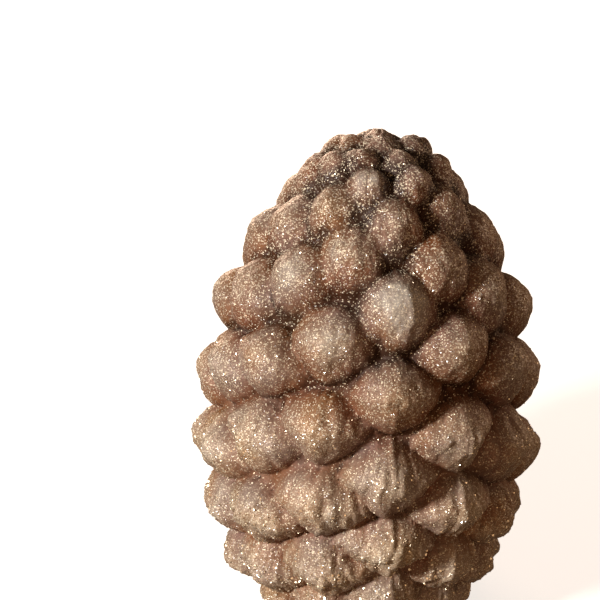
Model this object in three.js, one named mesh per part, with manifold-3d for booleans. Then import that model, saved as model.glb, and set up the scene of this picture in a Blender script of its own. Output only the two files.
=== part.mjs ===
// Ornamental pine cone, cast in one piece and standing tip up on a flat foot. Millimetres, +Z up.
import * as THREE from 'three';
import { mergeVertices } from 'three/addons/utils/BufferGeometryUtils.js';
import Module from 'manifold-3d';

// The line that the scale tips touch, from the foot to the top, as [radius, height].
const TIP_LINE = [
  [18.5, 0],
  [23.5, 4.2],
  [27.8, 12.5],
  [31.8, 28],
  [32.2, 40],
  [30, 58],
  [26, 68],
  [21, 76.5],
  [15.6, 83.5],
  [8.8, 90.5],
  [0, 94],
];

// Scales stand in rows round the cone, and each row is turned half a step from the one below.
// Rows are counted from the widest-spaced one, and crowd together towards the foot and the top.
const SCALES_PER_ROW = 7;
const LOWEST_ROW = -8;
const HIGHEST_ROW = 5;
const MIDDLE_ROW = 61.5; // along the tip line, from the foot
const ROW_STEP = 8.05; // along the tip line, at the middle row
const ROW_CROWDING = 0.02; // times the cube of the row number
const FRONT_SCALE_TURN = 11.5; // degrees from the front (-Y) towards +X
const ROW_RISE = 5.8; // rows run uneven: up to this much higher at one side of the cone than at the other
const LOW_SIDE_TURN = 68; // degrees, where the rows run lowest

// Each scale is a rounded lozenge with its keel across it, a little above the middle.
const WIDEST_SCALE = 11.4; // half width
const WIDTH_SHARE = 0.69; // of the half step that a scale has in its row
const WIDTH_EXTRA = 2;
const ABOVE_KEEL = 7.8;
const BELOW_KEEL = 9.8;
const RELIEF = 7.8; // tip over the equator of the lozenge
const ROOT = 9; // depth of the root below that equator
const KEEL_DROOP = 0.6; // how far the two ends of the keel hang below its middle
const FULL_WIDTH = 8; // half width from which a scale has its full height

// Roundness of a scale along its keel, down its faces and outwards: 1 is sharp, 2 is an ellipsoid.
// The scales of the lower rows are blunt pyramids, and those of the upper rows are rounded bosses.
const FOOT_ROUNDNESS = new THREE.Vector3(1.3, 1.4, 1.85);
const CROWN_ROUNDNESS = new THREE.Vector3(1.8, 1.7, 1.8);
const LAST_PYRAMID_ROW = -1;
const FIRST_BOSS_ROW = 3;

// No two scales are quite alike.
const TURN_WOBBLE = 1.8; // degrees
const ROW_WOBBLE = 0.5;
const SIZE_WOBBLE = 0.07; // share of the size

// Small knobs close the top.
const CROWN_KNOBS = 5;
const CROWN_KNOB_SIZE = 4.3;
const CROWN_KNOB_FROM_TOP = 5.6; // along the tip line
const CROWN_KNOB_TURN = 39; // degrees, of the first one

// The core fills the cone behind the scales, and comes closer to their tips at the top.
const CORE_INSET = 5.5;
const CORE_TOP_INSET = 2.4;
const CORE_FULL_RADIUS = 22; // of the tip line, from which the core has its full inset

// How finely the scales and the core are faceted.
const SCALE_SIDES = 12;
const SCALE_RINGS = [0, 35, 65]; // degrees from the equator of the lozenge towards its tip
const CORE_SIDES = 14;
const CORE_STEPS = 8;

const COPPER_GLITTER = new THREE.MeshStandardMaterial({
  name: 'copper_glitter',
  color: 0x8c6a54,
  roughness: 0.45,
  metalness: 0.6,
});

const { degToRad, lerp, smoothstep } = THREE.MathUtils;
const wasm = await Module();
wasm.setup();

/** Welds a three.js geometry and hands it over as a closed solid. */
function toSolid(geometry) {
  const bare = geometry.clone();
  bare.deleteAttribute('normal');
  bare.deleteAttribute('uv');
  const welded = mergeVertices(bare, 1e-4);
  return new wasm.Manifold(new wasm.Mesh({
    numProp: 3,
    vertProperties: new Float32Array(welded.attributes.position.array),
    triVerts: new Uint32Array(welded.index.array),
  }));
}

/** Turns a solid back into a three.js geometry. */
function toGeometry(solid) {
  const mesh = solid.getMesh();
  const geometry = new THREE.BufferGeometry();
  geometry.setAttribute('position', new THREE.BufferAttribute(mesh.vertProperties, 3));
  geometry.setIndex(new THREE.BufferAttribute(mesh.triVerts, 1));
  geometry.computeVertexNormals();
  return geometry;
}

const tipLine = new THREE.SplineCurve(TIP_LINE.map(([radius, height]) => new THREE.Vector2(radius, height)));
const tipLineLength = tipLine.getLength();

/** The place this deep behind the tip line, at a length along it; below the foot it runs straight on. */
function placeBehindTipLine(length, depth) {
  const share = THREE.MathUtils.clamp(length / tipLineLength, 0, 1);
  const along = tipLine.getTangentAt(share);
  const inwards = new THREE.Vector2(-along.y, along.x);
  const place = tipLine.getPointAt(share);
  return place.addScaledVector(along, Math.min(length, 0)).addScaledVector(inwards, depth);
}

/** Keeps the sign of a number while raising its size to a power. */
function signedPower(value, power) {
  return Math.sign(value) * Math.abs(value) ** power;
}

/** A steady small unevenness between -1 and 1 for the scale with this number. */
function wobble(number, kind) {
  return Math.sin(number * (2.4 + kind) + kind);
}

/** How far a row has risen at this turn: most at half the length of the tip line, and nothing at its ends. */
function rowRise(rowLength, turn) {
  const side = (1 - Math.cos(turn - degToRad(LOW_SIDE_TURN))) / 2;
  return ROW_RISE * side * Math.sin((Math.PI * rowLength) / tipLineLength);
}

/** The scales of one row: where each sits on the tip line and how large it is. */
function rowOfScales(row) {
  const scales = [];
  const step = (2 * Math.PI) / SCALES_PER_ROW;
  const halfTurn = row % 2 === 0 ? 0 : step / 2;
  const rounding = smoothstep(row, LAST_PYRAMID_ROW, FIRST_BOSS_ROW);
  const roundness = FOOT_ROUNDNESS.clone().lerp(CROWN_ROUNDNESS, rounding);
  const rowLength = MIDDLE_ROW + ROW_STEP * row - ROW_CROWDING * row ** 3;
  for (let i = 0; i < SCALES_PER_ROW; i += 1) {
    const number = (row - LOWEST_ROW) * SCALES_PER_ROW + i;
    const turn = degToRad(FRONT_SCALE_TURN + TURN_WOBBLE * wobble(number, 2)) + halfTurn + i * step;
    const length = rowLength + rowRise(rowLength, turn) + ROW_WOBBLE * wobble(number, 1);
    const radius = placeBehindTipLine(length, 0).x;
    const width = Math.min(WIDEST_SCALE, WIDTH_EXTRA + (WIDTH_SHARE * radius * step) / 2);
    const fullness = Math.min(1, (width + 2) / (FULL_WIDTH + 2)) * (1 + SIZE_WOBBLE * wobble(number, 3));
    scales.push({
      turn,
      length,
      radius,
      roundness,
      width: width * (1 + SIZE_WOBBLE * wobble(number, 4)),
      above: ABOVE_KEEL * fullness,
      below: BELOW_KEEL * fullness,
      relief: RELIEF * fullness,
    });
  }
  return scales;
}

/** The knobs that close the top, described as scales are. */
function crownKnobs() {
  const length = tipLineLength - CROWN_KNOB_FROM_TOP;
  const knob = {
    length,
    radius: placeBehindTipLine(length, 0).x,
    roundness: CROWN_ROUNDNESS,
    width: CROWN_KNOB_SIZE,
    above: CROWN_KNOB_SIZE,
    below: CROWN_KNOB_SIZE,
    relief: CROWN_KNOB_SIZE,
  };
  const firstTurn = degToRad(CROWN_KNOB_TURN);
  const turns = Array.from({ length: CROWN_KNOBS }, (_, i) => firstTurn + (2 * Math.PI * i) / CROWN_KNOBS);
  return turns.map((turn) => ({ ...knob, turn }));
}

/** One scale: a lozenge bent round the cone, its tip on the tip line and its root in the core. */
function scaleSolid({ turn, length, radius, roundness, width, above, below, relief }) {
  const profile = [new THREE.Vector2(0, -1)];
  for (const degrees of SCALE_RINGS) {
    profile.push(new THREE.Vector2(Math.cos(degToRad(degrees)), Math.sin(degToRad(degrees))));
  }
  profile.push(new THREE.Vector2(0, 1));
  const geometry = new THREE.LatheGeometry(profile, SCALE_SIDES);
  const position = geometry.attributes.position;
  const point = new THREE.Vector3();
  for (let i = 0; i < position.count; i += 1) {
    point.fromBufferAttribute(position, i);
    const side = signedPower(point.x, 2 / roundness.x);
    const rise = signedPower(-point.z, 2 / roundness.y);
    const out = signedPower(point.y, 2 / roundness.z);
    const up = rise * (rise > 0 ? above : below) - KEEL_DROOP * side * side;
    const depth = relief - out * (out > 0 ? relief : ROOT);
    const place = placeBehindTipLine(length + up, depth);
    const angle = turn + (side * width) / radius;
    position.setXYZ(i, place.x * Math.sin(angle), -place.x * Math.cos(angle), place.y);
  }
  return toSolid(geometry);
}

/** The core: a line behind the tip line, turned round the axis and closed at both ends. */
function coreSolid() {
  const profile = [];
  for (let step = 0; step < CORE_STEPS; step += 1) {
    const length = (tipLineLength * step) / CORE_STEPS;
    const fullness = Math.min(1, placeBehindTipLine(length, 0).x / CORE_FULL_RADIUS);
    profile.push(placeBehindTipLine(length, lerp(CORE_TOP_INSET, CORE_INSET, fullness)));
  }
  const foot = new THREE.Vector2(profile[0].x, -CORE_INSET);
  const footCentre = new THREE.Vector2(0, -CORE_INSET);
  const top = new THREE.Vector2(0, TIP_LINE.at(-1)[1] - CORE_TOP_INSET);
  const geometry = new THREE.LatheGeometry([footCentre, foot, ...profile, top], CORE_SIDES);
  return toSolid(geometry.rotateX(Math.PI / 2));
}

let cone = coreSolid();
for (let row = LOWEST_ROW; row <= HIGHEST_ROW; row += 1) {
  for (const scale of rowOfScales(row)) {
    cone = cone.add(scaleSolid(scale));
  }
}
for (const knob of crownKnobs()) {
  cone = cone.add(scaleSolid(knob));
}
const belowFoot = new THREE.BoxGeometry(100, 100, 40).translate(0, 0, -20);
cone = cone.subtract(toSolid(belowFoot));

const pineCone = new THREE.Mesh(toGeometry(cone), COPPER_GLITTER);
pineCone.name = 'pine_cone';

const part = new THREE.Group();
part.name = 'ornamental_pine_cone';
part.add(pineCone);

export default part;
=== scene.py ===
"""An ornamental pine cone, cast in plaster and coated with copper glitter. Metres, +Z up, front at -Y."""
import logging
import math
from collections.abc import Sequence
from dataclasses import dataclass
from enum import Enum
from typing import Any, NamedTuple

import bpy
import numpy as np
from mathutils import Matrix, Vector

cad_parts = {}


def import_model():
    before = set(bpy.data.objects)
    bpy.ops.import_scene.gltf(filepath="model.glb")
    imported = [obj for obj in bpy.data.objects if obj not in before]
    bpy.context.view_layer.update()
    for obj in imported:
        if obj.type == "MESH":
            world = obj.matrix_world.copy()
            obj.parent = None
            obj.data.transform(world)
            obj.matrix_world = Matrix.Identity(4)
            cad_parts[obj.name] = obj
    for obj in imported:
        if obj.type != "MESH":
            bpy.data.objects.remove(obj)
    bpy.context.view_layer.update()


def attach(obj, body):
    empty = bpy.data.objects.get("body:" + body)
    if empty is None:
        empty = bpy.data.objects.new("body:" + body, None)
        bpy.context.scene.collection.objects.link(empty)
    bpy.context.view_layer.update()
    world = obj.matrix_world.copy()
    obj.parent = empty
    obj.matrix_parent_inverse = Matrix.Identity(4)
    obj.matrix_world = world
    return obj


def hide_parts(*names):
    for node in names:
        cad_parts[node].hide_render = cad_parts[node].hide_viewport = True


LOG = logging.getLogger("pine_cone")
MM = 0.001
NODE = "pine_cone"
BODY = "root"

Span = tuple[float, float]
Triple = tuple[float, float, float]
Tree = bpy.types.NodeTree
Socket = bpy.types.NodeSocket
Outputs = bpy.types.NodeOutputs
Object = bpy.types.Object
Material = bpy.types.Material

NOISE_SPAN = (0.3, 0.7)  # most values of a noise lie between these
MIDDLE = (0.5, 0.5, 0.5)  # of a noise or a random colour
GAP_SPAN = (0.3, 0.9)  # values of the hollow mark where glitter thins out, and where little is left

# The line that the scale tips touch, from the foot to the top, as radius and height in millimetres.
# It ends a little flatter than in the CAD source.
TIP_PLACES = ((18.5, 0), (23.5, 4.2), (27.8, 12.5), (31.8, 28), (32.2, 40), (30, 58), (26, 68), (21, 76.5),
              (15.6, 83.5), (9.3, 90.8), (0, 92.6))


class Mark(str, Enum):
    """Names of the attributes that the meshes carry."""

    TURN = "turn"  # round the axis, from the front towards +X, in radians
    TIP_PLACE = "tip_place"  # on the line of the tips: radius, length along it, height
    OUTWARDS = "outwards"  # from that line: radial share, share of the foot's drop, upward share
    SEAT = "seat"  # of a scale: turn, length along the tip line, radius
    SIZE = "size"  # of a scale: half width, height above its keel, height below it
    ROUNDNESS = "roundness"  # of a scale: along its keel, down its faces, inverse of outwards
    FORM = "form"  # of a scale: relief, share of the way from the foot to the crown, wear
    SWAY = "sway"  # how far the moulding strays: X round the axis, Y along the tip line
    HEAP = "heap"  # what all scales add up to at a point
    NEAREST = "nearest"  # depth of the scale that stands out most at a point
    ON_SCALE = "on_scale"  # place on that scale: along its keel, up its faces, share of the way up the cone
    TIP_WEAR = "tip_wear"  # closeness to that scale's tip, its wear, its turn
    HOLLOW_SHADE = "hollow"  # about 0 at the tips and 1 in the gaps, with painted shade in grooves, furrows and under keels
    FLAKE = "flake"  # a random share that picks the tone of one flake

    @property
    def kind(self) -> str:
        """The attribute's data type."""
        single = (Mark.TURN, Mark.HEAP, Mark.NEAREST, Mark.HOLLOW_SHADE, Mark.FLAKE)
        return "FLOAT" if self in single else "FLOAT_VECTOR"


SCALE_MARKS = (Mark.SEAT, Mark.SIZE, Mark.ROUNDNESS, Mark.FORM)


class Wobble(int, Enum):
    """What differs a little from one scale to the next."""

    ROW = 1
    TURN = 2
    HEIGHT = 3
    WIDTH = 4
    WEAR = 5


def linear(hex_colour: str) -> tuple[float, float, float, float]:
    """Turns an sRGB colour into the linear one that shaders use.

    Args:
        hex_colour: six hex digits.

    Returns:
        Linear red, green, blue and an alpha of 1.
    """
    shares = [int(hex_colour[i:i + 2], 16) / 255 for i in (0, 2, 4)]
    values = [c / 12.92 if c <= 0.04045 else ((c + 0.055) / 1.055) ** 2.4 for c in shares]
    return (values[0], values[1], values[2], 1.0)


def metres(span: Span) -> Span:
    """Turns a span in millimetres into one in metres."""
    return span[0] * MM, span[1] * MM


def feed(tree: Tree, node: bpy.types.Node, inputs: dict[int | str, Any]) -> None:
    """Gives a node what goes into it.

    Args:
        tree: the node's tree.
        node: the node.
        inputs: what goes into each input, by name or number: another node's output, or a plain value.
    """
    for key, value in inputs.items():
        sockets = [s for s in node.inputs if s.enabled]
        socket = sockets[key] if isinstance(key, int) else next(s for s in sockets if s.name == key)
        if isinstance(value, Socket):
            tree.links.new(value, socket)
        else:
            socket.default_value = value


def add_node(tree: Tree, kind: str, inputs: dict[int | str, Any] | None = None, **settings: Any) -> Socket:
    """Adds a node with its settings and links.

    Args:
        tree: the tree that gets the node.
        kind: the node's type.
        inputs: what goes into it, as in feed.
        settings: properties of the node, set before its inputs.

    Returns:
        The node's first output in use, or the node's first input if it has no output.
    """
    node = tree.nodes.new(kind)
    for name, value in settings.items():
        setattr(node, name, value)
    feed(tree, node, inputs or {})
    outputs = [s for s in node.outputs if s.enabled]
    return outputs[0] if outputs else node.inputs[0]


def calc(tree: Tree, operation: str, *values: Any) -> Socket:
    """Adds one step of arithmetic with numbers, and gives its result."""
    return add_node(tree, "ShaderNodeMath", dict(enumerate(values)), operation=operation)


def product(tree: Tree, value: Any, *factors: Any) -> Socket:
    """Adds a product of numbers, taken in this order."""
    for factor in factors:
        value = calc(tree, "MULTIPLY", value, factor)
    return value


def calc_vector(tree: Tree, operation: str, *values: Any) -> Socket:
    """Adds one step of arithmetic with vectors, and gives its result."""
    return add_node(tree, "ShaderNodeVectorMath", dict(enumerate(values)), operation=operation)


def remap(tree: Tree, value: Socket, source: Sequence[Any], target: Sequence[Any], **settings: str) -> Socket:
    """Adds a node that carries a value over from one span to another, and stops at its ends."""
    ends = {"From Min": source[0], "From Max": source[1], "To Min": target[0], "To Max": target[1]}
    return add_node(tree, "ShaderNodeMapRange", {"Value": value, **ends}, **settings)


def split(tree: Tree, vector: Socket) -> Outputs:
    """Adds a node that splits a vector, and gives its outputs X, Y and Z."""
    return add_node(tree, "ShaderNodeSeparateXYZ", {0: vector}).node.outputs


def join(tree: Tree, x: Any, y: Any, z: Any) -> Socket:
    """Adds a node that makes a vector of three numbers."""
    return add_node(tree, "ShaderNodeCombineXYZ", {"X": x, "Y": y, "Z": z})


def noise(tree: Tree, place: Socket, spacing: float, **inputs: float) -> Socket:
    """Adds a noise with this spacing in metres, and gives its value."""
    return add_node(tree, "ShaderNodeTexNoise", {"Vector": place, "Scale": 1 / spacing, **inputs})


def mix(tree: Tree, factor: Any, first: Any, second: Any, **settings: str) -> Socket:
    """Adds a mix of two values, which is the first at a factor of 0 and the second at 1."""
    return add_node(tree, "ShaderNodeMix", {"Factor": factor, "A": first, "B": second}, **settings)


def colour_ramp(tree: Tree, value: Socket, stops: Sequence[tuple[float, str]]) -> Socket:
    """Adds a ramp from one colour to the next.

    Args:
        tree: the tree that gets the node.
        value: picks the colour.
        stops: values and sRGB hex colours, in rising order.

    Returns:
        The colour.
    """
    colour = add_node(tree, "ShaderNodeValToRGB", {0: value})
    elements = colour.node.color_ramp.elements
    while len(elements) < len(stops):
        elements.new(0.5)
    for element, (position, hex_colour) in zip(elements, stops):
        element.position = position
        element.color = linear(hex_colour)
    return colour


def shader_mark(tree: Tree, mark: Mark) -> Outputs:
    """Adds a node that reads a mesh attribute in a material, and gives its outputs."""
    return add_node(tree, "ShaderNodeAttribute", attribute_name=mark.value).node.outputs


def read_mark(tree: Tree, mark: Mark) -> Socket:
    """Adds a node that reads a mesh attribute in Geometry Nodes."""
    return add_node(tree, "GeometryNodeInputNamedAttribute", {"Name": mark.value}, data_type=mark.kind)


def store_marks(tree: Tree, geometry: Socket, values: dict[Mark, Any]) -> Socket:
    """Adds nodes that write a geometry's own attributes.

    Args:
        tree: the tree that gets the nodes.
        geometry: what carries the attributes.
        values: what is written, in this order.

    Returns:
        The geometry with its attributes.
    """
    for mark, value in values.items():
        inputs = {"Geometry": geometry, "Name": mark.value, "Value": value}
        geometry = add_node(tree, "GeometryNodeStoreNamedAttribute", inputs, data_type=mark.kind)
    return geometry


def set_mark(mesh: bpy.types.Mesh, mark: Mark, values: Any) -> None:
    """Writes one attribute of a mesh, with a number or a vector for each point."""
    data = mesh.attributes.new(mark.value, mark.kind, "POINT").data
    data.foreach_set("value" if mark.kind == "FLOAT" else "vector", np.asarray(values, np.float32).ravel())


def new_tree(name: str, inputs: dict[str, str]) -> tuple[Tree, Outputs]:
    """Starts a Geometry Nodes tree.

    Args:
        name: the tree's name.
        inputs: names and kinds of its inputs, after the geometry, such as Float.

    Returns:
        The tree, and what comes in through its inputs.
    """
    tree = bpy.data.node_groups.new(name, "GeometryNodeTree")
    tree.interface.new_socket("Geometry", in_out="INPUT", socket_type="NodeSocketGeometry")
    for label, kind in inputs.items():
        tree.interface.new_socket(label, in_out="INPUT", socket_type="NodeSocket" + kind)
    tree.interface.new_socket("Geometry", in_out="OUTPUT", socket_type="NodeSocketGeometry")
    return tree, tree.nodes.new("NodeGroupInput").outputs


def end_tree(tree: Tree, geometry: Socket, material: Socket) -> None:
    """Ends a Geometry Nodes tree: makes instances real and sets the material.

    Args:
        tree: the tree.
        geometry: what the tree gives out.
        material: its finish.
    """
    geometry = add_node(tree, "GeometryNodeRealizeInstances", {"Geometry": geometry})
    geometry = add_node(tree, "GeometryNodeSetMaterial", {"Geometry": geometry, "Material": material})
    add_node(tree, "NodeGroupOutput", {"Geometry": geometry})


def grow(holder: Object, tree: Tree, values: dict[str, Any], name: str) -> Object:
    """Runs a Geometry Nodes tree on a holder, keeps the result as a plain mesh and removes the holder.

    Args:
        holder: an unlinked object with the mesh that goes into the tree.
        tree: the tree.
        values: the tree's inputs by name.
        name: the name of the new object.

    Returns:
        The new object, at the origin.
    """
    bpy.context.collection.objects.link(holder)
    modifier = holder.modifiers.new(tree.name, "NODES")
    modifier.node_group = tree
    for item in tree.interface.items_tree:
        if item.in_out == "INPUT" and item.name in values:
            modifier[item.identifier] = values[item.name]
    graph = bpy.context.evaluated_depsgraph_get()
    mesh = bpy.data.meshes.new_from_object(holder.evaluated_get(graph), depsgraph=graph)
    mesh.name = name
    holder.modifiers.clear()
    bpy.data.objects.remove(holder)
    piece = bpy.data.objects.new(name, mesh)
    bpy.context.collection.objects.link(piece)
    return piece


def new_material(name: str) -> tuple[Material, bpy.types.Node]:
    """Starts a material.

    Args:
        name: the real material and how it is made.

    Returns:
        The material and its shader.
    """
    material = bpy.data.materials.new(name)
    material.use_nodes = True
    return material, material.node_tree.nodes["Principled BSDF"]


@dataclass(frozen=True)
class GlitteredPlaster:
    """Cast plaster under a copper ground coat, dusted with fine glitter and worn pale on some tips.

    The eye sees a warm, sparkling, grainy metal: pale gold on the tips, where the dust lies thick, copper
    down the faces and darker towards the crown, and red-brown in the gaps, partly bare ground coat and
    partly painted shade; painted shade also darkens the furrows and the faces under the keels. A few
    chalky patches show where the coat has rubbed off. Pale gold specks in the colour are partly painted
    glints. Each speck leans its own way under its lacquer, so single specks glint.
    """

    # The first four run from the gaps to the tips; the darker ones are partly bare ground coat and partly
    # painted shade.
    ground: str = "3c2517"
    red_brown: str = "785540"
    copper: str = "8f735d"
    sand: str = "a78f77"
    # pale gold of the specks, which are partly painted glints
    gold: str = "f0e2c8"
    chalk: str = "bdb9b0"
    speck: float = 0.18 * MM
    clump: float = 0.9 * MM
    clump_height: float = 0.3 * MM
    patch: float = 3.0 * MM
    drift: float = 9.0 * MM
    tilt: float = 0.6  # of a speck
    crown_heights: Span = (40 * MM, 90 * MM)  # where the colour darkens upwards
    crown_darkening: Span = (-0.24, 0.44)
    foot_heights: Span = (2 * MM, 9 * MM)  # the foot below the scales was dusted too
    foot_bareness: Span = (-0.4, 0.0)
    patch_bareness: float = 0.5
    # how much the gaps darken: partly bare ground coat, partly painted shade
    gap_bareness_and_shade: float = 0.75
    hues: Span = (0.488, 0.504)  # 0.5 leaves a colour as it is
    saturations: Span = (0.7, 1.2)
    shades: Span = (0.78, 1.12)  # of single specks
    rubbing: Span = (0.22, 0.48)  # where chalk starts to show, and where most does
    most_chalk: float = 0.5
    rarity: Span = (0.70, 0.94)  # of gold specks, which are partly painted glints, at the tips and in the gaps
    most_gold: float = 0.95
    metal: float = 0.15
    roughnesses: Span = (0.5, 0.75)
    glint_chances: Span = (0.3, 0.7)  # at which a speck has no glint, and its full one
    gap_glints: float = 0.05  # share left in the gaps

    def material(self) -> Material:
        """Builds the finish from Object coordinates and the cone's own attributes.

        Returns:
            The material.
        """
        material, shader = new_material("glittered plaster, cast and dusted")
        tree = material.node_tree
        place = tree.nodes.new("ShaderNodeTexCoord").outputs["Object"]
        hollow = shader_mark(tree, Mark.HOLLOW_SHADE)["Fac"]
        cells = add_node(tree, "ShaderNodeTexVoronoi", {"Vector": place, "Scale": 1 / self.speck})
        lean = cells.node.outputs["Color"]
        chance = add_node(tree, "ShaderNodeSeparateColor", {0: lean}).node.outputs
        patches = noise(tree, place, self.patch, Detail=4.0, Roughness=0.65)
        wear = split(tree, shader_mark(tree, Mark.TIP_WEAR)["Vector"])
        rubbed = product(tree, wear["X"], patches, wear["Y"])
        chalky = remap(tree, rubbed, self.rubbing, (0.0, self.most_chalk))
        colour = self.dust(tree, place, hollow, patches)
        shade = remap(tree, chance["Blue"], (0.0, 1.0), self.shades)
        colour = mix(tree, 1.0, colour, shade, data_type="RGBA", blend_type="MULTIPLY")
        colour = mix(tree, chalky, colour, linear(self.chalk), data_type="RGBA")
        # Pale gold specks, partly glitter of that tone and partly painted glints, more on the tips than in
        # the gaps.
        rarity = remap(tree, hollow, (0.0, 1.0), self.rarity)
        gold_specks_and_glints = remap(tree, chance["Red"], (rarity, 1.0), (0.0, self.most_gold))
        colour = mix(tree, gold_specks_and_glints, colour, linear(self.gold), data_type="RGBA")
        clumps = noise(tree, place, self.clump, Detail=2.0, Roughness=0.6)
        facing = add_node(tree, "ShaderNodeBump",
                          {"Height": clumps, "Strength": 0.6, "Distance": self.clump_height})
        lean = calc_vector(tree, "SUBTRACT", lean, MIDDLE)
        lean = calc_vector(tree, "MULTIPLY_ADD", lean, (2 * self.tilt,) * 3, facing)
        glints = remap(tree, hollow, GAP_SPAN, (1.0, self.gap_glints))
        feed(tree, shader, {
            "Base Color": colour,
            "Metallic": remap(tree, chalky, (0.0, 1.0), (self.metal, 0.0)),
            "Roughness": remap(tree, chance["Green"], (0.0, 1.0), self.roughnesses),
            "Normal": facing,
            "Specular IOR Level": 0.2,
            "Coat Weight": remap(tree, chance["Green"], self.glint_chances, (0.0, glints)),
            "Coat Roughness": 0.2,
            "Coat IOR": 1.8,
            "Coat Normal": calc_vector(tree, "NORMALIZE", lean)})
        return material

    def dust(self, tree: Tree, place: Socket, hollow: Socket, patches: Socket) -> Socket:
        """Adds the colour of the dust, from thick on the tips to dark in the gaps.

        The dark in the gaps is partly the bare ground coat and partly painted shade.

        Args:
            tree: the material's tree.
            place: where on the cone.
            hollow: about 0 at the tips and 1 in the gaps, with painted shade added.
            patches: a slow noise.

        Returns:
            The colour, with slow changes of tone.
        """
        height = split(tree, place)["Z"]
        bareness_and_shade = calc(tree, "ADD", remap(tree, height, self.crown_heights, self.crown_darkening),
                        remap(tree, height, self.foot_heights, self.foot_bareness))
        bareness_and_shade = calc(tree, "MULTIPLY_ADD", patches, self.patch_bareness, bareness_and_shade)
        # The gaps darken: partly the bare ground coat, partly painted shade.
        bareness_and_shade = calc(tree, "MULTIPLY_ADD", hollow, self.gap_bareness_and_shade, bareness_and_shade)
        colour = colour_ramp(tree, bareness_and_shade, (
            (0.0, self.sand), (0.4, self.copper), (0.8, self.red_brown), (1.0, self.ground)))
        tones = noise(tree, place, self.drift).node.outputs["Color"]
        tones = add_node(tree, "ShaderNodeSeparateColor", {0: tones}).node.outputs
        return add_node(tree, "ShaderNodeHueSaturation", {
            "Hue": remap(tree, tones["Red"], NOISE_SPAN, self.hues),
            "Saturation": remap(tree, tones["Green"], NOISE_SPAN, self.saturations), "Color": colour})


@dataclass(frozen=True)
class MetallisedFilm:
    """Glitter cut from metallised polyester film, which gives the eye single bright sparks."""

    copper: str = "d9b295"
    gold: str = "f3e2c4"
    silver: str = "f8ecd8"
    roughness: float = 0.42

    def material(self) -> Material:
        """Builds the finish, with one tone for each flake.

        Returns:
            The material.
        """
        material, shader = new_material("metallised polyester film, cut")
        tree = material.node_tree
        pick = shader_mark(tree, Mark.FLAKE)["Fac"]
        tone = colour_ramp(tree, pick, ((0.0, self.copper), (0.55, self.gold), (1.0, self.silver)))
        feed(tree, shader, {"Base Color": tone, "Metallic": 1.0, "Roughness": self.roughness})
        return material


@dataclass(frozen=True)
class OpalSheet:
    """The opal acrylic of a light table, which gives the eye a white, matt ground, lit from below."""

    colour: str = "f4f2ef"
    glow: float = 0.8
    grain: float = 2.0 * MM
    grain_height: float = 0.1 * MM

    def material(self) -> Material:
        """Builds the finish, with a faint grain.

        Returns:
            The material.
        """
        material, shader = new_material("opal acrylic, cast and sanded")
        tree = material.node_tree
        grain = noise(tree, tree.nodes.new("ShaderNodeTexCoord").outputs["Object"], self.grain)
        bump = add_node(tree, "ShaderNodeBump",
                        {"Height": grain, "Strength": 0.05, "Distance": self.grain_height})
        feed(tree, shader, {
            "Base Color": linear(self.colour), "Roughness": 0.9, "Normal": bump,
            "Emission Color": linear(self.colour), "Emission Strength": self.glow})
        return material


class TipPlace(NamedTuple):
    """A place on the line of the tips, and the way out from it, in millimetres."""

    radius: float
    height: float
    out_radius: float
    out_height: float


class TipLine:
    """The line that the scale tips touch: a smooth curve through given places."""

    STEPS = 60  # between two places
    REACH = 0.5  # to both sides of a place, for the way out, in millimetres

    def __init__(self, places: Sequence[Span]) -> None:
        """Samples the curve.

        Args:
            places: radius and height, from the foot to the top, in millimetres.
        """
        ends = np.array([places[0], *places, places[-1]])
        share = np.linspace(0, 1, self.STEPS, endpoint=False)[:, None]
        pieces = []
        for before, start, end, after in zip(ends, ends[1:], ends[2:], ends[3:]):
            leave = (end - before) / 2
            arrive = (after - start) / 2
            cubic = 2 * start - 2 * end + leave + arrive
            square = -3 * start + 3 * end - 2 * leave - arrive
            pieces.append(cubic * share ** 3 + square * share ** 2 + leave * share + start)
        self.points = np.vstack([*pieces, ends[-1:]])
        strides = np.hypot(*np.diff(self.points, axis=0).T)
        self.lengths = np.concatenate([[0], np.cumsum(strides)])
        self.length = float(self.lengths[-1])

    def at(self, length: float) -> TipPlace:
        """The place at a length from the foot; lengths off either end give that end.

        Args:
            length: in millimetres.

        Returns:
            The place and the way out from it.
        """
        middle = min(max(length, 0), self.length)
        span = np.clip([middle - self.REACH, middle, middle + self.REACH], 0, self.length)
        radius = np.interp(span, self.lengths, self.points[:, 0])
        height = np.interp(span, self.lengths, self.points[:, 1])
        along = Vector((radius[2] - radius[0], height[2] - height[0])).normalized()
        return TipPlace(float(radius[1]), float(height[1]), along.y, -along.x)


class Scale(NamedTuple):
    """One scale: what the four marks of these names say of it, in metres."""

    seat: Triple
    size: Triple
    roundness: Triple
    form: Triple


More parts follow.
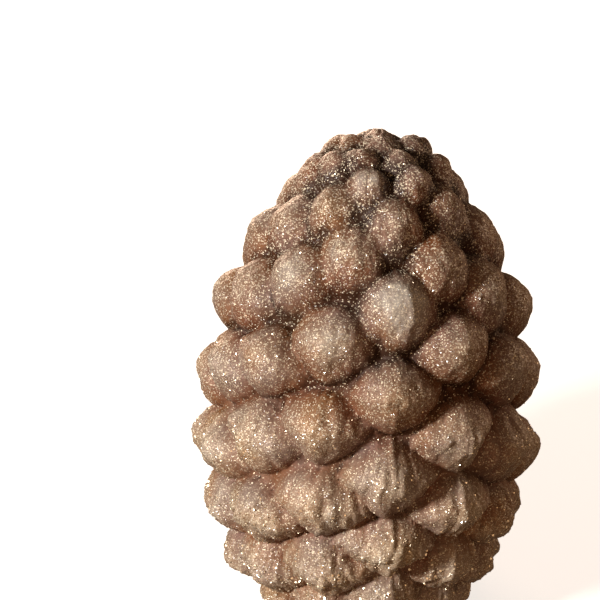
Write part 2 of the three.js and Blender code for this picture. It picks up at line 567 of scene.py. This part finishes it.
@dataclass
class PineCone:
    """The casting: rows of fused scales on a core, in millimetres and degrees.

    The fields down to the core are as in the CAD source. The others give the low relief, the rubbing of
    the coat and the division of the skin.
    """

    tip_line: TipLine
    scales_per_row: int = 7
    lowest_row: int = -8
    highest_row: int = 5
    middle_row: float = 61.5
    row_step: float = 8.05
    row_crowding: float = 0.02
    front_scale_turn: float = 11.5
    row_rise: float = 5.8
    low_side_turn: float = 68.0
    widest_scale: float = 11.4
    width_share: float = 0.69
    width_extra: float = 2.0
    above_keel: float = 7.8
    below_keel: float = 9.8
    relief: float = 7.8
    keel_droop: float = 0.6
    full_width: float = 8.0
    full_extra: float = 2.0
    foot_roundness: Triple = (1.3, 1.4, 1.85)
    crown_roundness: Triple = (1.8, 1.7, 1.8)
    last_pyramid_row: int = -1
    first_boss_row: int = 3
    wobble_step: float = 2.4
    turn_wobble: float = 1.8
    row_wobble: float = 0.5
    size_wobble: float = 0.07
    crown_knobs: int = 5
    crown_knob_size: float = 4.3
    crown_knob_from_top: float = 5.6
    crown_knob_turn: float = 39.0
    core_inset: float = 5.5
    core_top_inset: float = 2.4
    core_full_radius: float = 22.0
    middle_knob_below: float = 1.3  # its reach down, in knob sizes
    crease_softness: float = 0.7
    crown_crease_softness: float = 0.55
    groove: float = 0.8  # depth along the creases of the lower rows
    groove_heights: Span = (30, 65)  # where they fade upwards
    groove_at_crown: float = 0.1  # share of the depth that is left
    groove_shares: Span = (0.45, 0.9)  # of one scale in the heap, in a groove and out of it
    groove_shade: float = 0.2  # how much painted shade a groove gets, as against a gap; glitter thins there too
    sway: float = 2.4
    sway_spacing: float = 8.0
    striation_spacing: float = 1.25
    striation_depth: float = 1.1
    striation_length: float = 3.5  # in spacings
    striation_ends: Span = (-10, 8)  # up a scale from its keel
    striation_fan: Span = (1.4, 0.6)  # how wide the spacing is at these two ends
    striation_row_step: float = 0.03  # share of the way up at which they change
    striation_turn_rate: float = 2.0  # how fast they change round the cone
    striation_contrast: Span = (0.25, 0.75)  # of the noise, at a ridge and in a furrow
    striation_rows: Span = (0.3, 0.7)  # shares of the way up where they fade
    striation_fade: Span = (1.0, 0.2)
    striation_shade: float = 0.8  # how much painted shade a furrow gets, as against a gap; glitter thins there too
    underside: float = 8.0  # from a scale's keel down to where it is darkest
    underside_shade: float = 0.16  # how much painted shade it gets there, as against a gap; glitter thins there too
    unevenness: float = 1.3
    unevenness_spacing: float = 5.0
    least_radius: float = 0.2  # share of its radius that the skin keeps at least
    handled_from: float = 0.5  # share of the way up where rubbing starts
    handled_over: float = 0.2  # share over which it grows
    wear: float = 0.75
    wear_wobble: float = 0.25
    columns: int = 448
    rings: int = 212
    foot_rings: int = 4
    foot_ring_step: float = 0.4
    top_ring_gap: float = 0.2

    def wobble(self, number: int, kind: Wobble) -> float:
        """A steady small unevenness between -1 and 1 for the scale with this number."""
        return math.sin(number * (self.wobble_step + kind) + kind)

    def risen(self, row_length: float, turn: float) -> float:
        """How far a row has risen at a turn: most at half the length of the tip line."""
        side = (1 - math.cos(turn - math.radians(self.low_side_turn))) / 2
        return self.row_rise * side * math.sin(math.pi * row_length / self.tip_line.length)

    def handled(self, rise: float, turn: float) -> float:
        """How much a scale's coat was rubbed by handling, from 0 to 1: on the upper half of the front."""
        height = min(1, max(0, (rise - self.handled_from) / self.handled_over))
        return height * max(0, math.cos(turn)) ** 2

    def row_of_scales(self, row: int) -> list[Scale]:
        """The scales of one row.

        Args:
            row: counted from the middle row.

        Returns:
            Where each scale sits and how large it is.
        """
        scales = []
        step = 2 * math.pi / self.scales_per_row
        rise = (row - self.lowest_row) / (self.highest_row - self.lowest_row)
        boss = (row - self.last_pyramid_row) / (self.first_boss_row - self.last_pyramid_row)
        boss = min(1, max(0, boss))
        boss = boss * boss * (3 - 2 * boss)
        along, down, out = (low * (1 - boss) + high * boss
                            for low, high in zip(self.foot_roundness, self.crown_roundness))
        row_length = self.middle_row + self.row_step * row - self.row_crowding * row ** 3
        for i in range(self.scales_per_row):
            number = (row - self.lowest_row) * self.scales_per_row + i
            turn = math.radians(self.front_scale_turn + self.turn_wobble * self.wobble(number, Wobble.TURN))
            turn += (i + row % 2 / 2) * step
            length = row_length + self.row_wobble * self.wobble(number, Wobble.ROW)
            length += self.risen(row_length, turn)
            radius = self.tip_line.at(length).radius
            width = min(self.widest_scale, self.width_extra + self.width_share * radius * step / 2)
            fullness = min(1, (width + self.full_extra) / (self.full_width + self.full_extra))
            fullness *= 1 + self.size_wobble * self.wobble(number, Wobble.HEIGHT)
            width *= 1 + self.size_wobble * self.wobble(number, Wobble.WIDTH)
            wear = self.wear + self.wear_wobble * self.wobble(number, Wobble.WEAR)
            scales.append(Scale(
                seat=(turn, length * MM, radius * MM),
                size=(width * MM, self.above_keel * fullness * MM, self.below_keel * fullness * MM),
                roundness=(along, down, 1 / out),
                form=(self.relief * fullness * MM, rise, self.handled(rise, turn) * wear)))
        return scales

    def knobs(self) -> list[Scale]:
        """The knobs that close the top, described as scales are.

        Returns:
            A ring of knobs, and a low one in the middle.
        """
        knob = self.crown_knob_size * MM
        whole_turn = 1.0  # so wide that the knob in the middle runs all round the axis
        roundness = (*self.crown_roundness[:2], 1 / self.crown_roundness[2])
        form = (knob, 1.0, 0.0)
        length = self.tip_line.length - self.crown_knob_from_top
        radius = self.tip_line.at(length).radius
        first = math.radians(self.crown_knob_turn)
        turns = [first + 2 * math.pi * i / self.crown_knobs for i in range(self.crown_knobs)]
        ring = [Scale((turn, length * MM, radius * MM), (knob,) * 3, roundness, form) for turn in turns]
        top = (0.0, self.tip_line.length * MM, knob)
        return [*ring, Scale(top, (whole_turn, knob, self.middle_knob_below * knob), roundness, form)]

    def seats(self) -> Object:
        """Marks where the scales sit and how large they are.

        Returns:
            An unlinked helper with a point for each scale, row by row, and each knob.
        """
        rows = range(self.lowest_row, self.highest_row + 1)
        scales = [scale for row in rows for scale in self.row_of_scales(row)] + self.knobs()
        mesh = bpy.data.meshes.new("scale seats")
        mesh.vertices.add(len(scales))
        for mark, vectors in zip(SCALE_MARKS, zip(*scales)):
            set_mark(mesh, mark, vectors)
        return bpy.data.objects.new("scale seats", mesh)

    def skin(self) -> Object:
        """A closed grid on the line of the tips, with the marks that the relief is worked out from.

        Returns:
            An unlinked object whose rings run from the foot to the top, closed by one point at each end.
        """
        foot = range(self.foot_rings, 0, -1)
        lengths = [-self.foot_ring_step * k for k in foot]
        lengths += list(np.linspace(0, self.tip_line.length - self.top_ring_gap, self.rings))
        drops = [k / self.foot_rings for k in foot] + [0.0] * self.rings
        ring_places = [self.tip_line.at(length) for length in lengths]
        ring_turns = np.arange(self.columns) * 2 * math.pi / self.columns
        top = (0, self.tip_line.length, self.tip_line.at(self.tip_line.length).height)
        turns = np.concatenate([np.tile(ring_turns, len(lengths)), [0, 0]])
        tips = [(p.radius, length, p.height) for p, length in zip(ring_places, lengths)]
        tips = np.vstack([np.repeat(tips, self.columns, axis=0), top, (0, lengths[0], 0)]) * MM
        outwards = [(p.out_radius, drop, p.out_height) for p, drop in zip(ring_places, drops)]
        outwards = np.vstack([np.repeat(outwards, self.columns, axis=0), (0, 0, 1), (0, 1, -1)])
        places = np.stack([tips[:, 0] * np.sin(turns), -tips[:, 0] * np.cos(turns), tips[:, 2]], axis=1)
        mesh = bpy.data.meshes.new("skin")
        mesh.from_pydata(places.tolist(), [], self.skin_faces(len(lengths)))
        for mark, values in ((Mark.TURN, turns), (Mark.TIP_PLACE, tips), (Mark.OUTWARDS, outwards)):
            set_mark(mesh, mark, values)
        return bpy.data.objects.new("skin", mesh)

    def skin_faces(self, rings: int) -> list[tuple[int, ...]]:
        """The skin's faces: quads between rings, and triangles round the two end points.

        Args:
            rings: how many rings the skin has.

        Returns:
            Vertex numbers of each face, facing outwards.
        """
        faces: list[tuple[int, ...]] = []
        top = rings * self.columns
        foot = top + 1
        for i in range(self.columns):
            j = (i + 1) % self.columns
            for ring in range(rings - 1):
                low = ring * self.columns
                high = low + self.columns
                faces.append((low + i, low + j, high + j, high + i))
            faces.append((top - self.columns + i, top - self.columns + j, top))
            faces.append((j, i, foot))
        return faces

    def sizes(self) -> dict[str, float]:
        """The sizes that the relief tree takes in, by the names of its inputs, in metres."""
        sizes = {
            "Crease Softness": self.crease_softness, "Crown Crease Softness": self.crown_crease_softness,
            "Core Inset": self.core_inset, "Core Top Inset": self.core_top_inset,
            "Core Full Radius": self.core_full_radius, "Keel Droop": self.keel_droop,
            "Striation Spacing": self.striation_spacing, "Striation Depth": self.striation_depth,
            "Unevenness": self.unevenness, "Sway": self.sway, "Groove": self.groove}
        return {name: size * MM for name, size in sizes.items()}

    def relief_tree(self) -> Tree:
        """The tree that sinks the skin between the scales and combs fine striations in.

        Returns:
            A tree with named inputs for its sizes.
        """
        tree, size = new_tree("cast scales", {
            "Seats": "Object", **dict.fromkeys(self.sizes(), "Float"), "Material": "Material"})
        tip = split(tree, read_mark(tree, Mark.TIP_PLACE))
        girth = (0.0, size["Core Full Radius"])
        inset = remap(tree, tip["X"], girth, (size["Core Top Inset"], size["Core Inset"]))
        softness = remap(tree, tip["X"], girth, (size["Crown Crease Softness"], size["Crease Softness"]))
        fall = calc(tree, "DIVIDE", -1.0, softness)
        place = tree.nodes.new("GeometryNodeInputPosition").outputs[0]
        sway = noise(tree, place, self.sway_spacing * MM, Detail=1.0).node.outputs["Color"]
        sway = calc_vector(tree, "SUBTRACT", sway, MIDDLE)
        reach = remap(tree, tip["X"], girth, (0.0, size["Sway"]))
        sway = add_node(tree, "ShaderNodeVectorMath", {0: sway, "Scale": reach}, operation="SCALE")
        skin = store_marks(tree, size["Geometry"], {
            Mark.HEAP: calc(tree, "EXPONENT", product(tree, inset, fall)), Mark.NEAREST: inset,
            Mark.SWAY: sway, Mark.ON_SCALE: (0, 0, 0), Mark.TIP_WEAR: (0, 0, 0)})
        skin = self.add_scales(tree, size, tip["Y"], fall, skin)
        heap = read_mark(tree, Mark.HEAP)
        depth = calc(tree, "DIVIDE", calc(tree, "LOGARITHM", heap, math.e), fall)
        hollow = calc(tree, "DIVIDE", depth, inset)
        groove = self.grooves(tree, tip["Z"], heap, fall)
        comb = self.striations(tree, size["Striation Spacing"])
        lumps = noise(tree, place, self.unevenness_spacing * MM, Detail=4.0, Roughness=0.6)
        lumps = product(tree, calc(tree, "SUBTRACT", lumps, 0.5), 2.0)
        for share, most in ((groove, size["Groove"]), (comb, size["Striation Depth"]),
                            (lumps, size["Unevenness"])):
            depth = calc(tree, "MULTIPLY_ADD", share, most, depth)
        # Painted shade: grooves, furrows and the faces under each keel darken as gaps do.
        hollow = calc(tree, "MULTIPLY_ADD", groove, self.groove_shade, hollow)
        hollow = calc(tree, "MULTIPLY_ADD", comb, self.striation_shade, hollow)
        up = split(tree, read_mark(tree, Mark.ON_SCALE))["Y"]
        # Painted shade on the faces under each keel.
        under = remap(tree, up, (-self.underside * MM, 0.0), (self.underside_shade, 0.0))
        skin = store_marks(tree, skin, {Mark.HOLLOW_SHADE: calc(tree, "ADD", hollow, under)})
        sunk = self.sunk_place(tree, tip, depth)
        skin = add_node(tree, "GeometryNodeSetPosition", {"Geometry": skin, "Position": sunk})
        for mark in (Mark.TURN, Mark.TIP_PLACE, Mark.OUTWARDS, Mark.SWAY, Mark.HEAP, Mark.NEAREST):
            skin = add_node(tree, "GeometryNodeRemoveAttribute", {"Geometry": skin, "Name": mark.value})
        skin = add_node(tree, "GeometryNodeSetShadeSmooth", {"Geometry": skin})
        end_tree(tree, skin, size["Material"])
        return tree

    @staticmethod
    def add_scales(tree: Tree, size: Outputs, along: Socket, fall: Socket, skin: Socket) -> Socket:
        """Adds a loop over the scales, which heaps their forms up on the skin with soft creases.

        Args:
            tree: the relief tree.
            size: the tree's inputs.
            along: each point's place along the line of the tips.
            fall: minus one over the crease softness.
            skin: the geometry before the loop.

        Returns:
            The geometry after the loop.
        """
        seats = add_node(tree, "GeometryNodeObjectInfo", {"Object": size["Seats"]}).node.outputs["Geometry"]
        count = add_node(tree, "GeometryNodeAttributeDomainSize", {"Geometry": seats})
        loop_start = tree.nodes.new("GeometryNodeRepeatInput")
        loop_end = tree.nodes.new("GeometryNodeRepeatOutput")
        loop_start.pair_with_output(loop_end)
        feed(tree, loop_start, {"Iterations": count, "Geometry": skin})
        number = loop_start.outputs["Iteration"]
        seat, extent, roundness, form = (
            split(tree, add_node(tree, "GeometryNodeSampleIndex", {
                "Geometry": seats, "Value": read_mark(tree, mark), "Index": number}, data_type=mark.kind))
            for mark in SCALE_MARKS)
        sway = split(tree, read_mark(tree, Mark.SWAY))
        turn = calc(tree, "SUBTRACT", read_mark(tree, Mark.TURN), seat["X"])
        turn = calc(tree, "WRAP", turn, math.pi, -math.pi)
        side = calc(tree, "MULTIPLY_ADD", turn, seat["Z"], sway["X"])
        side_share = calc(tree, "DIVIDE", side, extent["X"])
        up = calc(tree, "ADD", calc(tree, "SUBTRACT", along, seat["Y"]), sway["Y"])
        square = product(tree, side_share, side_share)
        up = calc(tree, "MULTIPLY_ADD", square, size["Keel Droop"], up)
        over = calc(tree, "GREATER_THAN", up, 0.0)
        up_share = calc(tree, "DIVIDE", up, mix(tree, over, extent["Z"], extent["Y"]))
        across = calc(tree, "POWER", calc(tree, "ABSOLUTE", side_share), roundness["X"])
        upwards = calc(tree, "POWER", calc(tree, "ABSOLUTE", up_share), roundness["Y"])
        inside = calc(tree, "SUBTRACT", 1.0, calc(tree, "ADD", across, upwards))
        bulge = calc(tree, "POWER", calc(tree, "ABSOLUTE", inside), roundness["Z"])
        bulge = product(tree, bulge, calc(tree, "SIGN", inside))
        depth = product(tree, calc(tree, "SUBTRACT", 1.0, bulge), form["X"])
        weight = calc(tree, "EXPONENT", product(tree, depth, fall))
        nearest = read_mark(tree, Mark.NEAREST)
        closer = calc(tree, "LESS_THAN", depth, nearest)
        here = join(tree, side, up, form["Y"])
        worn = join(tree, inside, form["Z"], seat["X"])
        skin = store_marks(tree, loop_start.outputs["Geometry"], {
            Mark.ON_SCALE: mix(tree, closer, read_mark(tree, Mark.ON_SCALE), here, data_type="VECTOR"),
            Mark.TIP_WEAR: mix(tree, closer, read_mark(tree, Mark.TIP_WEAR), worn, data_type="VECTOR"),
            Mark.HEAP: calc(tree, "ADD", read_mark(tree, Mark.HEAP), weight),
            Mark.NEAREST: calc(tree, "MINIMUM", depth, nearest)})
        feed(tree, loop_end, {"Geometry": skin})
        return loop_end.outputs["Geometry"]

    def grooves(self, tree: Tree, height: Socket, heap: Socket, fall: Socket) -> Socket:
        """Adds grooves along the creases between scales, shallow towards the crown.

        Args:
            tree: the relief tree.
            height: of a point on the line of the tips.
            heap: what all scales add up to there.
            fall: minus one over the crease softness.

        Returns:
            From 0 on a face to 1 in a groove.
        """
        own = calc(tree, "EXPONENT", product(tree, read_mark(tree, Mark.NEAREST), fall))
        own = calc(tree, "DIVIDE", own, heap)
        most = remap(tree, height, metres(self.groove_heights), (1.0, self.groove_at_crown))
        return remap(tree, own, self.groove_shares, (most, 0.0), interpolation_type="SMOOTHSTEP")

    def striations(self, tree: Tree, spacing: Socket) -> Socket:
        """Adds striations that fan out down the faces of the scales, faint towards the crown.

        Args:
            tree: the relief tree.
            spacing: from one striation to the next, at a scale's keel.

        Returns:
            From -0.5 on a ridge to 0.5 in a furrow.
        """
        on_scale = read_mark(tree, Mark.ON_SCALE)
        spot = split(tree, on_scale)
        fan = remap(tree, spot["Y"], metres(self.striation_ends), self.striation_fan)
        grid = join(tree, product(tree, spacing, fan),
                    product(tree, spacing, self.striation_length), self.striation_row_step)
        turn = split(tree, read_mark(tree, Mark.TIP_WEAR))["Z"]
        comb = add_node(tree, "ShaderNodeTexNoise", {
            "Vector": calc_vector(tree, "DIVIDE", on_scale, grid),
            "W": product(tree, turn, self.striation_turn_rate),
            "Scale": 1.0, "Detail": 1.0}, noise_dimensions="4D")
        comb = remap(tree, comb, self.striation_contrast, (-0.5, 0.5))
        fade = remap(tree, spot["Z"], self.striation_rows, self.striation_fade,
                     interpolation_type="SMOOTHSTEP")
        return product(tree, comb, fade)

    def sunk_place(self, tree: Tree, tip: Outputs, depth: Socket) -> Socket:
        """Adds where a point lies once it is sunk; the foot's rings drop to the ground.

        Args:
            tree: the relief tree.
            tip: the parts of a point's place on the line of the tips.
            depth: how far it is sunk.

        Returns:
            The place.
        """
        out = split(tree, read_mark(tree, Mark.OUTWARDS))
        turn = read_mark(tree, Mark.TURN)
        radius = calc(tree, "SUBTRACT", tip["X"], product(tree, depth, out["X"]))
        radius = calc(tree, "MAXIMUM", radius, product(tree, tip["X"], self.least_radius))
        height = calc(tree, "SUBTRACT", tip["Z"], product(tree, depth, out["Z"]))
        height = calc(tree, "MAXIMUM", height, 0.0)
        height = product(tree, height, calc(tree, "SUBTRACT", 1.0, out["Y"]))
        east = product(tree, radius, calc(tree, "SINE", turn))
        south = product(tree, radius, calc(tree, "COSINE", turn))
        return join(tree, east, product(tree, south, -1.0), height)

    def build(self, material: Material) -> Object:
        """Makes the casting as one plain mesh.

        Args:
            material: its finish.

        Returns:
            The finished piece.
        """
        seats = self.seats()
        inputs = {"Seats": seats, **self.sizes(), "Material": material}
        piece = grow(self.skin(), self.relief_tree(), inputs, "cast_cone")
        bpy.data.objects.remove(seats)
        return piece


@dataclass
class GlitterCoat:
    """Loose larger flakes that stand out of the fine glitter, in millimetres and degrees."""

    flakes: int = 27000  # before they are thinned out
    width: float = 0.2
    thickness: float = 0.05
    tilt: float = 50.0
    seed: int = 7
    gap_share: float = 0.1  # that the gaps hold
    thinning_heights: Span = (30, 65)  # where they thin out upwards
    crown_share: float = 0.5
    drift_spacing: float = 3.0
    drift_span: Span = (0.35, 0.65)  # of the noise
    drift_shares: Span = (0.2, 1.8)  # between drifts, and in them
    least_scale: float = 0.5
    shrinking_heights: Span = (25, 60)  # where the largest shrink upwards
    largest_scales: Span = (2.8, 1.5)

    def tree(self) -> Tree:
        """The tree that strews flat four-sided flakes over the casting, each leaning its own way.

        Returns:
            A tree with named inputs for its sizes.
        """
        tree, size = new_tree("strewn flakes", {
            "Density": "Float", "Width": "Float", "Thickness": "Float", "Tilt": "Float", "Seed": "Int",
            "Material": "Material"})
        place = tree.nodes.new("GeometryNodeInputPosition").outputs[0]
        height = split(tree, place)["Z"]
        held = remap(tree, read_mark(tree, Mark.HOLLOW_SHADE), GAP_SPAN, (1.0, self.gap_share))
        share = remap(tree, height, metres(self.thinning_heights), (1.0, self.crown_share))
        drifts = noise(tree, place, self.drift_spacing * MM, Detail=1.0)
        drifts = remap(tree, drifts, self.drift_span, self.drift_shares)
        density = product(tree, share, held, drifts, size["Density"])
        strewn = add_node(tree, "GeometryNodeDistributePointsOnFaces", {
            "Mesh": size["Geometry"], "Density": density, "Seed": size["Seed"]}).node.outputs
        radius = product(tree, size["Width"], 0.5)
        flake = add_node(tree, "GeometryNodeMeshCylinder",
                         {"Vertices": 4, "Radius": radius, "Depth": size["Thickness"]}, fill_type="NGON")
        back = product(tree, size["Tilt"], -1.0)
        least = join(tree, back, back, -math.pi)
        most = join(tree, size["Tilt"], size["Tilt"], math.pi)
        lean = add_node(tree, "FunctionNodeRandomValue",
                        {"Min": least, "Max": most, "Seed": size["Seed"]}, data_type="FLOAT_VECTOR")
        lean = add_node(tree, "FunctionNodeEulerToRotation", {"Euler": lean})
        turn = add_node(tree, "FunctionNodeRotateRotation",
                        {"Rotation": strewn["Rotation"], "Rotate By": lean}, rotation_space="LOCAL")
        largest = remap(tree, height, metres(self.shrinking_heights), self.largest_scales)
        scale = add_node(tree, "FunctionNodeRandomValue",
                         {"Min": self.least_scale, "Max": largest, "Seed": size["Seed"]}, data_type="FLOAT")
        pick = add_node(tree, "FunctionNodeRandomValue", {"Seed": size["Seed"]}, data_type="FLOAT")
        marked = store_marks(tree, strewn["Points"], {Mark.FLAKE: pick})
        coat = add_node(tree, "GeometryNodeInstanceOnPoints",
                        {"Points": marked, "Instance": flake, "Rotation": turn, "Scale": scale})
        end_tree(tree, coat, size["Material"])
        return tree

    def build(self, casting: Object, material: Material) -> Object:
        """Strews the flakes over the casting.

        Args:
            casting: the finished cone.
            material: the flakes' finish.

        Returns:
            The finished piece.
        """
        holder = bpy.data.objects.new("strewn flakes", casting.data.copy())
        area = sum(face.area for face in holder.data.polygons)
        inputs = {
            "Density": self.flakes / area, "Width": self.width * MM, "Thickness": self.thickness * MM,
            "Tilt": math.radians(self.tilt), "Seed": self.seed, "Material": material}
        return grow(holder, self.tree(), inputs, "glitter_flakes")


@dataclass(frozen=True)
class Lamp:
    """One square soft lamp that looks at the cone, in millimetres and watts."""

    name: str
    place: Triple
    power: float
    width: float
    colour: str

    def hang(self, target: Vector) -> None:
        """Hangs the lamp.

        Args:
            target: what it looks at, in metres.
        """
        light = bpy.data.lights.new(self.name, "AREA")
        light.energy = self.power
        light.size = self.width * MM
        light.color = linear(self.colour)[:3]
        lamp = bpy.data.objects.new(self.name, light)
        lamp.location = Vector(self.place) * MM
        lamp.rotation_euler = (target - lamp.location).to_track_quat("-Z", "Y").to_euler()
        bpy.context.collection.objects.link(lamp)


@dataclass
class Studio:
    """The floor of a light table, soft lamps and the camera."""

    elevation: float = 28.0  # of the camera over the horizon, in degrees
    roll: float = 3.5  # the cone's top leans to the right
    aim_height: float = 57.6  # on the cone's axis, in millimetres
    distance: float = 270.0  # from there to the camera, in millimetres
    aim_pixel: Span = (371.0, 320.0)  # where that point shows in the frame
    frame_pixels: float = 600.0
    focal_pixels: float = 1500.0
    sensor: float = 36.0
    floor_half: float = 3.0  # half its width, in metres
    lamps: tuple[Lamp, ...] = (
        Lamp("key", (-450, -340, 240), 5.2, 90, "fffaf3"),
        Lamp("fill", (80, -480, 60), 0.5, 300, "ffd0a3"),
        Lamp("rear", (-200, 460, 140), 1.6, 300, "ffdcc0"),
        Lamp("side", (430, 300, 150), 0.5, 300, "ffd3ad"))
    surround_colour: str = "ffd3ad"
    surround_strength: float = 0.1

    def camera(self) -> None:
        """Sets the camera at the viewing angle of the photograph."""
        angle = math.radians(self.elevation)
        back = Vector((0, -math.cos(angle), math.sin(angle)))
        right = Vector((1, 0, 0))
        upright = Matrix((right, back.cross(right), back)).transposed()
        middle = self.frame_pixels / 2
        ray = Vector((self.aim_pixel[0] - middle, middle - self.aim_pixel[1], -self.focal_pixels))
        swing = Vector((0, 0, -1)).rotation_difference(ray.normalized()).to_matrix().transposed()
        turn = upright @ Matrix.Rotation(math.radians(self.roll), 3, "Z") @ swing
        lens = bpy.data.cameras.new("camera")
        lens.sensor_fit = "HORIZONTAL"
        lens.sensor_width = self.sensor
        lens.lens = self.sensor * self.focal_pixels / self.frame_pixels
        camera = bpy.data.objects.new("camera", lens)
        place = Vector((0, 0, self.aim_height * MM)) + back * self.distance * MM
        camera.matrix_world = Matrix.Translation(place) @ turn.to_4x4()
        bpy.context.collection.objects.link(camera)
        bpy.context.scene.camera = camera

    def lights(self) -> None:
        """Sets a key lamp at the left, a weak warm fill, two weak lamps behind and a dim surround."""
        for lamp in self.lamps:
            lamp.hang(Vector((0, 0, self.aim_height)) * MM)
        world = bpy.data.worlds.new("dim surround")
        world.use_nodes = True
        feed(world.node_tree, world.node_tree.nodes["Background"],
             {"Color": linear(self.surround_colour), "Strength": self.surround_strength})
        bpy.context.scene.world = world
        bpy.context.scene.view_settings.view_transform = "Standard"

    def floor(self, material: Material) -> None:
        """Lays the floor just under the foot.

        Args:
            material: the floor's finish.
        """
        half = self.floor_half
        mesh = bpy.data.meshes.new("floor")
        corners = [(-half, -half, 0), (half, -half, 0), (half, half, 0), (-half, half, 0)]
        mesh.from_pydata(corners, [], [(0, 1, 2, 3)])
        mesh.materials.append(material)
        floor = bpy.data.objects.new("floor", mesh)
        floor.visible_diffuse = False  # its glow stays off the cone, whose shaded side is dark in the photo
        floor.visible_glossy = False
        bpy.context.collection.objects.link(floor)


def main() -> None:
    """Builds the studio and the cone in order, and reports each piece."""
    logging.basicConfig(level=logging.INFO, format="%(name)s: %(message)s")
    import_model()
    studio = Studio()
    studio.camera()
    studio.lights()
    studio.floor(OpalSheet().material())
    casting = PineCone(TipLine(TIP_PLACES)).build(GlitteredPlaster().material())
    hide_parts(NODE)
    flakes = GlitterCoat().build(casting, MetallisedFilm().material())
    for piece in (casting, flakes):
        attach(piece, BODY)
        piece.data.calc_loop_triangles()
        LOG.info("%s: %d triangles", piece.name, len(piece.data.loop_triangles))


if __name__ == "__main__":
    main()
